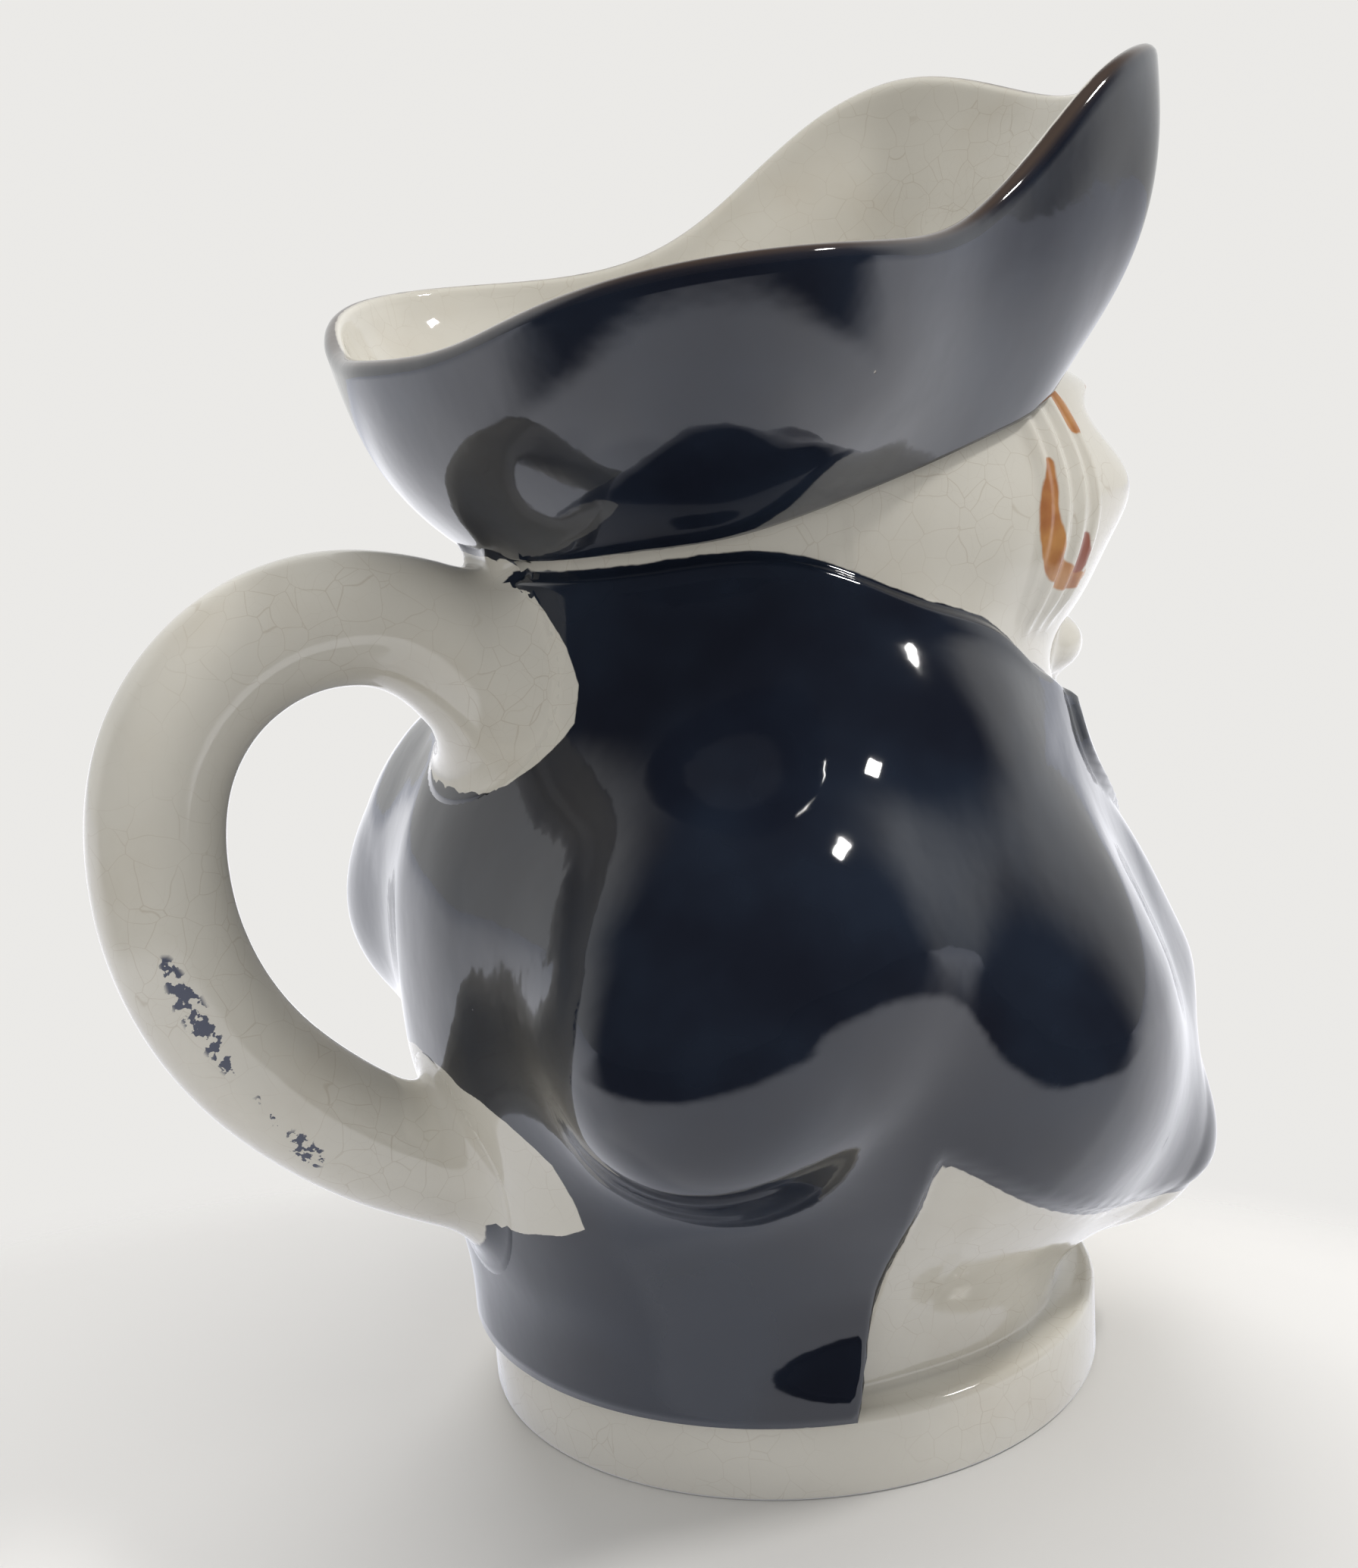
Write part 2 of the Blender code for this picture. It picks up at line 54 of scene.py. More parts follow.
LAMPS = (
    # name, place, aim, width, height, power, colour, whether the glaze mirrors it
    ("lamp", (0.34, -0.24, 0.60), (0, 0, 0.08), 0.10, 0.06, 1.8, (1.0, 0.98, 0.95), True),
    ("window", (0.25, 0.75, 0.55), (0, 0, 0.06), 0.6, 0.4, 5.6, (1.0, 0.985, 0.97), False),
    ("ceiling", (-0.1, -0.1, 1.1), (0, 0, 0.05), 0.9, 0.9, 2.2, (1.0, 0.985, 0.96), False),
)
FLOOR_SIZE = 3.0
FLOOR_COLOUR = (0.72, 0.715, 0.71)
SHEET_MIDDLE = (-0.093, -0.105, 0)      # the sheet runs out into the backdrop round this place
SHEET_EDGE = (0.178, 0.204)             # over these distances from it
LIT_FLOOR_EDGE = (0.19, 0.25)           # distances from the jug where its mirrored floor turns dark
# painted reflection: in the glaze only, the floor glows bluish near the jug and turns dark further off
# towards the camera, in place of the lit sheet and the dark room behind the camera
FLOOR_GLOW = (0.88, 0.95, 1.2)          # the bluish light of the floor in the glaze, and its strength
FLOOR_GLOW_STRENGTH = 0.38
MIRRORED_FLOOR_DARK = (0.02, 0.02, 0.025)
BACKDROP_COLOUR = (0.83, 0.82, 0.80)
ROOM_LIGHT = (0.66, 0.655, 0.64)
MIRRORED_WALL = (0.86, 0.86, 0.85)      # what the glaze mirrors before the jug and behind the camera
MIRRORED_DARK = (0.035, 0.037, 0.045)


class Shade:
    """A shader value. Sums of shades and plain numbers add the Math nodes that work them out."""

    def __init__(self, tree, socket=None):
        self.tree, self.socket = tree, socket

    def make(self, kind, settings=(), sockets=(), output=0):
        """Add any node, with its settings and its sockets' values or links, and give one of its outputs."""
        node = self.tree.nodes.new(kind)
        for name, value in dict(settings).items():
            setattr(node, name, value)
        for name, value in dict(sockets).items():
            if isinstance(value, Shade):
                self.tree.links.new(value.socket, node.inputs[name])
            else:
                node.inputs[name].default_value = value
        return Shade(self.tree, node.outputs[output] if node.outputs else None)

    def math(self, operation, *values):
        return self.make("ShaderNodeMath", {"operation": operation}, enumerate(values))

    def __add__(self, other):
        return self.math("ADD", self, other)

    def __sub__(self, other):
        return self.math("SUBTRACT", self, other)

    def __rsub__(self, other):
        return self.math("SUBTRACT", other, self)

    def __mul__(self, other):
        return self.math("MULTIPLY", self, other)

    def distance(self, point):
        """Distance of this place from a point."""
        return self.make("ShaderNodeVectorMath", {"operation": "DISTANCE"}, {0: self, 1: point}, "Value")

    def along(self, way):
        """How far this place lies along a way."""
        return self.make("ShaderNodeVectorMath", {"operation": "DOT_PRODUCT"}, {0: self, 1: way}, "Value")

    def step(self, start, end):
        """0 up to start and 1 from end on, with a smooth rise between."""
        sockets = {"Value": self, "From Min": start, "From Max": end}
        return self.make("ShaderNodeMapRange", {"interpolation_type": "SMOOTHSTEP"}, sockets)

    def tint(self, colour, other):
        """The first colour where this value is 0, and the other where it is 1."""
        share, first, second, mixed = 0, 6, 7, 2    # the Mix node's sockets for colours share their names
        colours = (one if isinstance(one, Shade) else (*one, 1) for one in (colour, other))
        sockets = dict(zip((share, first, second), (self, *colours)))
        return self.make("ShaderNodeMix", {"data_type": "RGBA"}, sockets, mixed)


def new_material(name):
    """An empty material's node tree, as the start of its shader sums."""
    material = bpy.data.materials.new(name)
    material.use_nodes = True
    material.node_tree.nodes.clear()
    return material, Shade(material.node_tree)


def finish_material(start, shader):
    start.make("ShaderNodeOutputMaterial", (), {"Surface": shader})


def link(name, data):
    made = bpy.data.objects.new(name, data)
    bpy.context.scene.collection.objects.link(made)
    return made


def set_camera():
    data = bpy.data.cameras.new("camera")
    data.lens, data.sensor_width, data.clip_start = CAMERA_LENS, 36, 0.01
    camera = link("camera", data)
    turn = (CAMERA_AIM - CAMERA_PLACE).to_track_quat("-Z", "Y").to_matrix().to_4x4()
    camera.matrix_world = Matrix.Translation(CAMERA_PLACE) @ turn @ Matrix.Rotation(CAMERA_ROLL, 4, "Z")
    bpy.context.scene.camera = camera


def set_lamps():
    for name, place, aim, width, height, power, colour, mirrored in LAMPS:
        data = bpy.data.lights.new(name, "AREA")
        data.shape, data.size, data.size_y = "RECTANGLE", width, height
        data.energy, data.color = power, colour
        lamp = link(name, data)
        lamp.location = place
        lamp.visible_glossy = mirrored
        lamp.rotation_euler = (Vector(aim) - Vector(place)).to_track_quat("-Z", "Y").to_euler()


def set_floor():
    """The sheet. In the glaze it glows near the jug and is dark further off towards the camera."""
    half = FLOOR_SIZE / 2
    mesh = bpy.data.meshes.new("floor")
    corners = [(-half, -half, 0), (half, -half, 0), (half, half, 0), (-half, half, 0)]
    mesh.from_pydata(corners, [], [(0, 1, 2, 3)])
    floor = link("floor", mesh)
    material, start = new_material("pale_sheet")
    place = start.make("ShaderNodeTexCoord", output="Object")
    edge = place.distance(SHEET_MIDDLE).step(*SHEET_EDGE)
    seen = start.make("ShaderNodeLightPath", output="Is Camera Ray")
    mirror = start.make("ShaderNodeLightPath", output="Is Glossy Ray")
    dark = place.distance((0, 0, 0)).step(*LIT_FLOOR_EDGE) * place.along(TO_CAMERA).step(-0.05, 0.1)
    colour = (mirror * dark).tint(FLOOR_COLOUR, MIRRORED_FLOOR_DARK)
    glow = mirror * (1 - dark) * FLOOR_GLOW_STRENGTH
    shader = start.make("ShaderNodeBsdfPrincipled", (), {
        "Base Color": colour, "Roughness": 0.45, "Alpha": 1 - edge * seen,
        "Emission Color": glow.tint((0, 0, 0), FLOOR_GLOW), "Emission Strength": 1.0})
    finish_material(start, shader)
    mesh.materials.append(material)


def set_room():
    """A pale backdrop for the camera, even light for what is matt, and walls that the glaze mirrors."""
    world = bpy.data.worlds.new("room")
    world.use_nodes = True
    world.node_tree.nodes.clear()
    start = Shade(world.node_tree)
    way = start.make("ShaderNodeTexCoord", output="Generated")
    height = start.make("ShaderNodeSeparateXYZ", (), {"Vector": way}, "Z")
    before = way.along([-part for part in TO_CAMERA]).step(-0.1, 0.35)
    walls = (before * (1 - height.step(0.45, 0.9))).tint(MIRRORED_DARK, MIRRORED_WALL)
    seen = start.make("ShaderNodeLightPath", output="Is Camera Ray")
    soft = start.make("ShaderNodeLightPath", output="Is Diffuse Ray")
    colour = seen.tint(soft.tint(walls, ROOM_LIGHT), BACKDROP_COLOUR)
    light = start.make("ShaderNodeBackground", (), {"Color": colour, "Strength": 1.0})
    start.make("ShaderNodeOutputWorld", (), {"Surface": light})
    bpy.context.scene.world = world


set_camera()
set_lamps()
set_floor()
set_room()
bpy.context.scene.view_settings.view_transform = "Standard"


# The body: one hollow casting of fired clay with the hat as its mouth, in clear glaze over cream-white slip,
# its coat and hat brushed navy before the glaze went on. Its outline is worked out from the same tables as
# the solid's, on a grid fine enough for the face, the hair, the lapels and the buttons.
FIGURE_HEIGHT = 0.145       # plinth's top to the two front peaks of the hat
FIGURE_PARTS = 145          # the figure's height in the parts that its own lengths are counted in
PLINTH_RADIUS = 0.038
PLINTH_HEIGHT = 0.010
PLINTH_ROUND = 0.0012       # rounding of the plinth's top edge
FOOT_ROUND = 0.0006         # rounding where the plinth meets the floor
HEM_OVERHANG = 0.0018       # how far the coat's hem stands out past the plinth
WALL = 0.004
BOTTOM_WALL = 0.008         # inner floor to the jug's underside
RIM_WALL = 0.0026
COAT_THICKNESS = 0.0013     # step at the collar and at the coat's front edges
HAT_STEP = 0.0016           # how far the hat's lower edge stands out past the head
HANDLE_THICKNESS = 0.0148   # in the plane of the loop
HANDLE_WIDTH = 0.0150       # across that plane
PART = FIGURE_HEIGHT / FIGURE_PARTS
AXIS_X = -2.7               # upright axis that the jug's outline is measured from, in parts

# Trunk: height, reach to the back, reach to the front, half width.
TRUNK = (
    (0, 38.0, 28.0, 33.5),
    (6, 38.5, 28.0, 33.5),
    (14, 39.5, 31.0, 35.0),
    (22, 40.5, 34.0, 36.5),
    (30, 41.5, 35.0, 37.5),
    (38, 43.0, 35.0, 37.5),
    (48, 43.5, 34.5, 36.5),
    (58, 42.5, 34.0, 35.0),
    (66, 39.5, 33.5, 33.0),
    (74, 35.0, 33.0, 30.5),
    (84, 31.5, 31.0, 28.5),
    (96, 30.5, 30.0, 28.0),
    (112, 30.5, 30.0, 28.0),
)
TRUNK_SQUARENESS = 2.4
# Breeches, belly and chest in front of the trunk: height, reach to the front, half width.
BELLY = (
    (0, 27.5, 24.0),
    (4, 28.0, 24.0),
    (9, 34.0, 25.5),
    (18, 41.0, 27.0),
    (26, 49.5, 28.0),
    (32, 54.0, 29.0),
    (40, 52.0, 28.5),
    (50, 47.0, 26.5),
    (60, 40.5, 24.5),
    (70, 34.0, 22.5),
    (80, 30.0, 20.0),
    (90, 24.0, 18.0),
)
BELLY_MIDDLE = 9            # how far in front of the plinth's centre the belly is widest
BELLY_SQUARENESS = 2.6
BELLY_BLEND = 8             # width of the fillet between trunk and belly

# Sleeve, given for the left side and mirrored: swellings, each a place and a radius, and the limbs between
# them.
SHOULDER = ((1, 24, 69), 13)
UPPER_ARM = ((-17, 31.5, 53), 17.5)
ELBOW = ((-26.5, 37, 45), 14)
FOREARM = ((9, 26.5, 37.5), 20)
CUFF = ((36.5, 19.5, 16.3), 11)
SLEEVE = (
    (SHOULDER, UPPER_ARM), (UPPER_ARM, ELBOW), (SHOULDER, FOREARM), (UPPER_ARM, FOREARM), (FOREARM, CUFF),
)
SLEEVE_BLEND = 10           # width of the fillets inside the sleeve
ARM_BLEND = 12              # width of the fillet between sleeve and trunk

# Left hand on the lap, below the belly: back of the hand from the wrist, then its four fingers, uppermost
# first.
HAND = (((39, 17, 17.5), 6.5), ((46, 10, 17.5), 5.2))
KNUCKLE = (48, 8, 22.3)
FINGER_TIP = (50, 1.6, 21.5)
FINGER_RADIUS = 2.1
FINGER_SPACING = 3.6
FINGERS = 4
HAND_BLEND = 1.5
FINGER_BLEND = 1.2

# Head under the hat, and the knot and two tabs of the neckcloth: centre and half sizes.
HEAD = ((10, 0, 95), (35.5, 31.5, 27))
HEAD_BLEND = 4
NECKCLOTH = (
    ((34, 0, 76), (10, 13, 5.5)),
    ((37.5, 0, 74), (6.5, 4.2, 4.2)),
    ((32.8, 5, 67), (7, 5.5, 8)),
)
FOLD_BLEND = 1.5
# Face, as swellings of the head: distance from the middle, height, half width, half height, rise.
FACE = (
    (0, 101.5, 2.8, 5.5, 2.8),      # bridge of the nose
    (0, 96.2, 3.8, 3.0, 5.2),       # tip of the nose
    (4.3, 95.4, 2.0, 1.8, 2.2),     # wing of the nose
    (10.3, 107.2, 7.2, 1.8, 2.0),   # brow
    (10.3, 103.0, 6.0, 3.0, -2.6),  # eye socket
    (10.3, 102.8, 4.3, 2.1, 2.4),   # eyeball and lids
    (10.3, 102.8, 4.6, 0.4, -0.8),  # line between the lids
    (17.5, 95.5, 7.5, 5.5, 2.4),    # cheek
    (0, 91.8, 5.6, 1.0, 1.5),       # upper lip
    (0, 89.1, 4.8, 1.2, 1.8),       # lower lip
    (0, 90.5, 6.6, 0.45, -1.2),     # line of the mouth
    (0, 87.2, 4.6, 0.8, -0.7),      # hollow under the lip
    (0, 84.2, 7.0, 2.8, 3.0),       # chin
)
# Hair combed down before the ear: angle from the front, half width in degrees, rise, number of locks, the
# height where they end and how much they slant.
SIDE_HAIR = (44, 8.5, 1.1, 4, 80, 0.12)
# Lapel of the coat: angle from the front of its free edge at the collar and at its foot, how far that edge
# waves, its upper and lower height, its rise.
LAPEL = ((31, 10), 5, (71, 45), 1.1)
COAT_OPENING = (16, 48)     # angle of the gap between the coat's fronts at the collar, and its foot's height
BUTTONS = (43, 35, 27)      # heights on the front's middle line
BUTTON = (2.6, 1.3)         # radius and rise

# Hat: angle from the front, radius and height of its rim.
RIM = (
    (0, 52.7, 140.0),
    (15, 52.5, 142.6),
    (30, 50.9, 145.0),
    (45, 46.9, 140.3),
    (60, 42.6, 131.2),
    (75, 42.0, 125.2),
    (90, 46.7, 123.1),
    (105, 53.0, 122.9),
    (120, 54.0, 121.9),
    (135, 49.5, 119.3),
    (150, 44.6, 116.4),
    (165, 42.2, 115.2),
    (180, 41.8, 115.0),
)
RIGHT_PEAK_DROP = (2.4, 14) # the hat's right-hand peak was cast a little lower, over this width in degrees
HAT_ROUNDNESS = 0.62        # 0 for a straight flare of the hat from head to rim, 1 for a deep bowl
HAT_RIDGE = (31, 8, 1.8)    # soft ridge below each peak: its angle from the front, width in degrees and rise
HAT_EDGE = (
    (0, 113), (20, 112), (35, 109), (48, 105.9), (61, 103.9), (76, 101.5), (97, 98.2),
    (115, 96), (130, 95.3), (150, 94.4), (180, 94),
)
# Upper edge of the coat's collar and of its front opening, as angle from the front and height.
COLLAR = (
    (0, 67), (20, 70), (30, 73.6), (38, 76.2), (47, 78.6), (60, 83.8), (77, 88), (92, 92),
    (111, 94.5), (130, 94), (150, 93.2), (180, 92.8),
)
# Front edge of the coat's skirt below the arm, as height and angle from the front.
COAT_EDGE = ((0, 102), (5, 100), (10, 97.8), (16, 96.3), (22.5, 94.6), (27.5, 93.9), (32, 93))
# Line under the forearm where the white breeches begin, as angle from the front and height.
UNDERARM = (
    (0, 7), (25, 9), (40, 12), (54, 15), (67, 19), (78, 23.5), (86, 28), (93, 31.8), (110, 33), (180, 33),
)
CUFF_END = (21, 17, 0.25, 26)   # angle where it ends, height where it is widest, its slant, the hand's top
SLOPE = 1.5                 # width of the slopes at the coat's edges
HEM_HEIGHT = 14             # height over which the coat spreads out to its hem

# Middle line of the handle in the jug's plane of symmetry, from the lower root to the upper one.
HANDLE_LINE = (
    (-27, 17.5), (-36, 22), (-46.5, 26.5), (-57.5, 34.2), (-66, 44), (-70.8, 55), (-72, 66),
    (-69.6, 77), (-62.3, 85.6), (-52.5, 89.2), (-43, 88.0), (-34.5, 83), (-27, 76),
)
LOWER_ROOT_FLARE = (1.55, 1.6)  # at the body: times the handle's thickness and width
UPPER_ROOT_FLARE = (1.75, 2.0)
ROOT_LENGTH = 24                # stretch of the handle over which each root flares


def smooth_line(places, values, at, level_ends=False):
    """Cubic spline through values at places, with even bending; level_ends makes it flat at both ends."""
    place, value = np.array(places, float), np.array(values, float)
    step, rise = np.diff(place), np.diff(value)
    count = len(place)
    system, wanted = np.zeros((count, count)), np.zeros(count)
    mid = np.arange(1, count - 1)
    system[mid, mid - 1] = step[:-1]
    system[mid, mid] = 2 * (step[:-1] + step[1:])
    system[mid, mid + 1] = step[1:]
    wanted[mid] = 6 * (rise[1:] / step[1:] - rise[:-1] / step[:-1])
    if level_ends:
        system[0, :2] = 2 * step[0], step[0]
        system[-1, -2:] = step[-1], 2 * step[-1]
        wanted[0], wanted[-1] = 6 * rise[0] / step[0], -6 * rise[-1] / step[-1]
    else:
        system[0, 0] = system[-1, -1] = 1
    bend = np.linalg.solve(system, wanted)
    at = np.clip(at, place[0], place[-1])
    low = np.clip(np.searchsorted(place, at, side="right") - 1, 0, count - 2)
    run, width = at - place[low], step[low]
    slope = rise[low] / width - width * (2 * bend[low] + bend[low + 1]) / 6
    curve = bend[low] / 2 + run * (bend[low + 1] - bend[low]) / (6 * width)
    return value[low] + run * (slope + run * curve)


def ramp(value):
    """0 below 0, 1 above 1, and an S-curve between."""
    share = np.clip(value, 0, 1)
    return share * share * (3 - 2 * share)


def around(table, angle, column=1):
    """Read a table of angles from the front, the same on both sides of the figure."""
    rows = np.array(table, float)
    return smooth_line(rows[:, 0], rows[:, column], np.abs(angle), level_ends=True)


def soften(first, second, blend):
    """Join two distances with a fillet about as wide as blend."""
    share = np.maximum(blend - np.abs(first - second), 0) / blend
    return np.minimum(first, second) - share * share * blend / 4


def limb(x, y, z, start, end):
    """Distance to a limb that tapers between two joints, each a place and a radius."""
    (from_place, from_radius), (to_place, to_radius) = start, end
    from_place, along = np.array(from_place, float), np.subtract(to_place, from_place).astype(float)
    dx, dy, dz = x - from_place[0], y - from_place[1], z - from_place[2]
    share = np.clip((dx * along[0] + dy * along[1] + dz * along[2]) / (along @ along), 0, 1)
    gap = np.sqrt((dx - share * along[0]) ** 2 + (dy - share * along[1]) ** 2 + (dz - share * along[2]) ** 2)
    return gap - (from_radius + share * (to_radius - from_radius))


def sleeve(x, y, z):
    """Distance to the sleeve, whose limbs run into each other."""
    form = limb(x, y, z, *SLEEVE[0])
    for ends in SLEEVE[1:]:
        form = soften(form, limb(x, y, z, *ends), SLEEVE_BLEND)
    return form


def ball(x, y, z, form):
    """Rough distance to an ellipsoid given by its centre and half sizes."""
    centre, half = form
    size = np.sqrt(sum(((value - c) / h) ** 2 for value, c, h in zip((x, y, z), centre, half)))
    return (size - 1) * min(half)


def trunk(x, y, z):
    """Rough distance to the trunk, whose level sections are rounded, with their own front and back."""
    rows = np.array(TRUNK, float)
    back, front, half_width = (smooth_line(rows[:, 0], rows[:, column], z) for column in (1, 2, 3))
    power = TRUNK_SQUARENESS
    length = np.where(x > 0, front, back)
    size = (np.abs(x / length) ** power + np.abs(y / half_width) ** power) ** (1 / power)
    return (size - 1) * np.minimum(length, half_width)


def belly(x, y, z):
    """Rough distance to the belly, whose level sections are rounder boxes about their own middle."""
    rows = np.array(BELLY, float)
    reach, half_width = (smooth_line(rows[:, 0], rows[:, column], z) for column in (1, 2))
    power, length = BELLY_SQUARENESS, reach - BELLY_MIDDLE
    size = (np.abs((x - BELLY_MIDDLE) / length) ** power + np.abs(y / half_width) ** power) ** (1 / power)
    return (size - 1) * np.minimum(length, half_width)


def body(x, y, z):
    """Rough distance to the figure below its hat, without the coat's thickness and the face."""
    y = np.abs(y)
    form = soften(soften(trunk(x, y, z), belly(x, y, z), BELLY_BLEND), sleeve(x, y, z), ARM_BLEND)
    form = soften(form, limb(x, y, z, *HAND), HAND_BLEND)
    for finger in range(FINGERS):
        drop = np.array((0, 0, finger * FINGER_SPACING))
        knuckle, tip = np.subtract(KNUCKLE, drop), np.subtract(FINGER_TIP, drop)
        form = soften(form, limb(x, y, z, (knuckle, FINGER_RADIUS), (tip, FINGER_RADIUS)), FINGER_BLEND)
    form = soften(form, ball(x, y, z, HEAD), HEAD_BLEND)
    for fold in NECKCLOTH:
        form = soften(form, ball(x, y, z, fold), FOLD_BLEND)
    return form


def face(side, height):
    """How far the face's features stand out from the head."""
    rise = 0
    for middle, level, wide, tall, depth in FACE:
        across = (np.abs(side) - middle) / wide
        rise = rise + depth * np.exp(-across ** 2 - ((height - level) / tall) ** 2)
    return rise


def side_hair(angle, height):
    """How far the locks before the ear stand out from the head."""
    middle, half, rise, locks, foot, slant = SIDE_HAIR
    tips, sides, depth = 5, 2.5, 0.3    # how the locks thin out below and aside, and how deep they are parted
    across = (np.degrees(np.abs(angle)) - middle) / half
    fade = ramp((height - foot) / tips) * ramp((1 - np.abs(across)) * sides)
    return rise * fade * (1 - depth + depth * np.cos(math.pi * locks * across + slant * (height - foot)))


def lapel(turn, height):
    """1 on the coat's lapels, which lie on its fronts, and 0 elsewhere."""
    (wide, narrow), wave, (top, foot), _ = LAPEL
    share = (height - foot) / (top - foot)
    edge = narrow + (wide - narrow) * share - wave * np.sin(math.pi * np.clip(share, 0, 1) * 2)
    return ramp((edge - turn) / (2 * SLOPE)) * ramp((height - foot) / SLOPE)


def buttons(angle, height, radius):
    """How far the coat's buttons stand out."""
    size, rise = BUTTON
    bulge = 0
    for level in BUTTONS:
        away = np.hypot(radius * np.sin(angle), height - level) / size
        bulge = bulge + rise * np.sqrt(np.maximum(1 - away ** 2, 0)) * (np.cos(angle) > 0)
    return bulge


def bare_radius(angle, height):
    """March inwards along level lines to the figure's surface, by a safe share of the distance to it."""
    cosine, sine = np.cos(angle), np.sin(angle)
    outside_all, marches, safe_share = 75.0, 90, 0.7
    radius = np.full(np.broadcast(angle, height).shape, outside_all)
    for _ in range(marches):
        radius = radius - safe_share * body(AXIS_X + radius * cosine, radius * sine, height)
    return radius


def body_radius(angle, height):
    """Outer radius of the figure with its face and its hair, without its coat."""
    radius = bare_radius(angle, height)
    features = np.where(np.cos(angle) > 0, face(radius * np.sin(angle), height), 0)
    return radius + features + side_hair(angle, height)


def circle_radius(angle, radius):
    """Distance from the jug's axis to a circle about the plinth's centre."""
    return -AXIS_X * np.cos(angle) + np.sqrt(radius ** 2 - (AXIS_X * np.sin(angle)) ** 2)


def rim_height(angle):
    """Height of the hat's rim, with its right-hand peak a little lower."""
    turn = np.degrees(angle)
    peak, (drop, width) = HAT_RIDGE[0], RIGHT_PEAK_DROP
    return around(RIM, turn, 2) - drop * np.exp(-((turn + peak) / width) ** 2)


def coat_cover(angle, height):
    """1 where the coat covers the figure and 0 where it doesn't, with narrow slopes at its edges."""
    turn = np.degrees(np.abs(angle))
    below_collar = ramp((around(COLLAR, turn) - height) / SLOPE)
    skirt = ramp((turn - smooth_line(*np.array(COAT_EDGE).T, np.maximum(height, 0))) / SLOPE)
    end, widest, slant, hand_top = CUFF_END
    hand = ramp((hand_top - height) / SLOPE) * ramp((end - slant * np.abs(height - widest) - turn) / SLOPE)
    upper = ramp((height - around(UNDERARM, turn)) / SLOPE) * (1 - hand)
    wide, foot = COAT_OPENING
    gap = wide * ramp((height - foot) / (COLLAR[0][1] - foot)) - SLOPE
    return below_collar * np.maximum(skirt, upper) * ramp((turn - gap) / SLOPE)


def jug_radius(angle, height):
    """Outer radius of plinth top, figure and coat, up to the hat's lower edge."""
    hem = circle_radius(angle, (PLINTH_RADIUS + HEM_OVERHANG) / PART)
    cover = coat_cover(angle, height)
    plain = body_radius(angle, height)
    turn = np.degrees(np.abs(angle))
    relief = COAT_THICKNESS / PART + LAPEL[3] * lapel(turn, height) + buttons(angle, height, plain)
    radius = plain + cover * relief
    return radius + cover * ramp(1 - height / HEM_HEIGHT) * (hem - radius)


def hat_radius(angle, share):
    """Outer radius of the hat, from its lower edge (share 0) to its rim (share 1)."""
    turn = np.degrees(np.abs(angle))
    low = bare_radius(angle, around(HAT_EDGE, turn)) + HAT_STEP / PART
    high = around(RIM, turn)
    middle, width, rise = HAT_RIDGE
    ridge = rise * np.exp(-((turn - middle) / width) ** 2) * 4 * share * (1 - share)
    flare = HAT_ROUNDNESS * (1 - (1 - share) ** 3) + (1 - HAT_ROUNDNESS) * share
    return low + (high - low) * flare + np.where(share < 1, ridge, 0)


def outer_radius(angle, height):
    """Outer radius at any height, from the plinth's top to above the rim."""
    turn = np.degrees(np.abs(angle))
    edge, rim = around(HAT_EDGE, turn), rim_height(angle)
    share = (height - edge) / (rim - edge)
    return np.where(share < 0, jug_radius(angle, np.minimum(height, edge)), hat_radius(angle, share))


def cavity_radius(angles, heights):
    """Inner radius on a grid: the outer form shrunk by a ball as wide as the wall."""
    wall = WALL / PART
    pad = 8             # columns that a ball as wide as the wall reaches to each side
    wide = np.concatenate([angles[-pad:] - 2 * math.pi, angles, angles[:pad] + 2 * math.pi])
    rise = heights[1] - heights[0]
    reach = int(wall / rise) + 1
    tall = heights[0] + rise * np.arange(-reach, len(heights) + reach)
    outer = outer_radius(wide[:, None], np.maximum(tall, 0)[None, :])
    inner = outer[pad:-pad, reach:-reach] - wall
    for across in range(-pad, pad + 1):
        turn = (wide[pad + across:len(wide) - pad + across] - angles)[:, None]
        for up in range(-reach, reach + 1):
            near = outer[pad + across:len(wide) - pad + across, reach + up:len(tall) - reach + up]
            spare = wall ** 2 - (up * rise) ** 2 - (turn * near) ** 2
            inner = np.where(spare > 0, np.minimum(inner, near - np.sqrt(np.maximum(spare, 0))), inner)
    return inner


def place(radius, angle, height):
    """Points in metres from a radius, an angle and a height in parts."""
    x, y = AXIS_X + radius * np.cos(angle), radius * np.sin(angle)
    return np.stack([x * PART, y * PART, height * PART + PLINTH_HEIGHT], -1)


def mesh_piece(name, points, faces, values, material):
    """A smooth piece from points and faces, with its named values at each point."""
    mesh = bpy.data.meshes.new(name)
    mesh.from_pydata(points.tolist(), [], faces.tolist() if isinstance(faces, np.ndarray) else faces)
    for title, value in values.items():
        field = mesh.attributes.new(title, "FLOAT", "POINT")
        field.data.foreach_set("value", np.ascontiguousarray(value, np.float32))
    mesh.materials.append(material)
    mesh.shade_smooth()
    return link(name, mesh)


def closed_grid(rings):
    """Points and faces of a form whose rings run from one end to the other, closed by a fan at each end."""
    count, sides = rings.shape[:2]
    points = np.concatenate([rings.reshape(-1, 3), rings[:1].mean(1), rings[-1:].mean(1)])
    ring, side = np.meshgrid(np.arange(count - 1), np.arange(sides), indexing="ij")
    after = (side + 1) % sides
    low, high = ring * sides, (ring + 1) * sides
    quads = np.stack([low + side, low + after, high + after, high + side], -1).reshape(-1, 4)
    side, after = side[0], after[0]
    first = np.stack([np.full(sides, count * sides), after, side], -1)
    top = (count - 1) * sides
    last = np.stack([np.full(sides, count * sides + 1), top + side, top + after], -1)
    return points, quads.tolist() + first.tolist() + last.tolist()


def column(start, end, count):
    """Evenly spaced numbers as a column, one for each row of a grid."""
    return np.linspace(start, end, count)[:, None]


